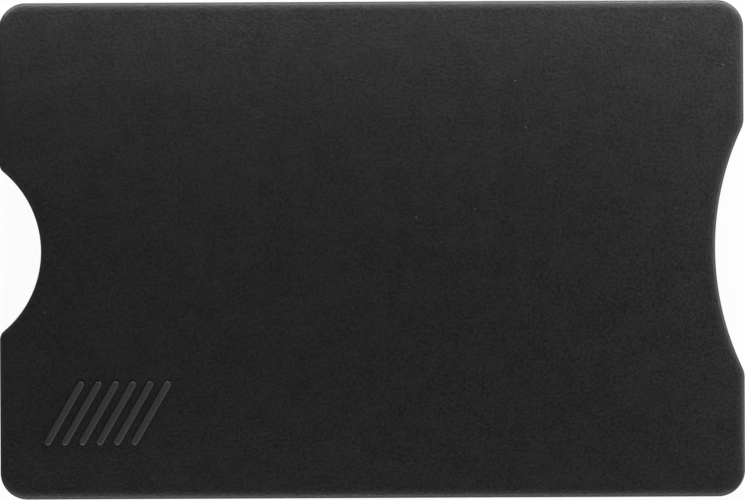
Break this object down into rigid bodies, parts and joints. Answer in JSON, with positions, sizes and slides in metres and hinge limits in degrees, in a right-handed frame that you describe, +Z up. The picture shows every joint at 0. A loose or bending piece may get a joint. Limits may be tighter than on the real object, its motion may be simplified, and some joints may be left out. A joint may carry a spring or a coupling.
{
  "type": "rfid card holder",
  "caption": "Slim rigid sleeve for a contactless card, with a thumb notch through its closed end, a wide grip notch in its open end and shielding sheets bonded inside.",
  "frame": {"origin": "under the middle of the holder, on the surface that its back lies on", "axes": "+X along the holder from its closed end to its open mouth, +Y across it, +Z up out of the front face"},
  "size_m": [0.09, 0.06, 0.0043],
  "materials": {
    "shell": "matt black, fine spark-eroded grain",
    "foil": "rolled, dull"
  },
  "bodies": {
    "root": {"front_shell": "shell", "back_shell": "shell", "front_shield": "foil", "back_shield": "foil"}
  },
  "joints": []
}
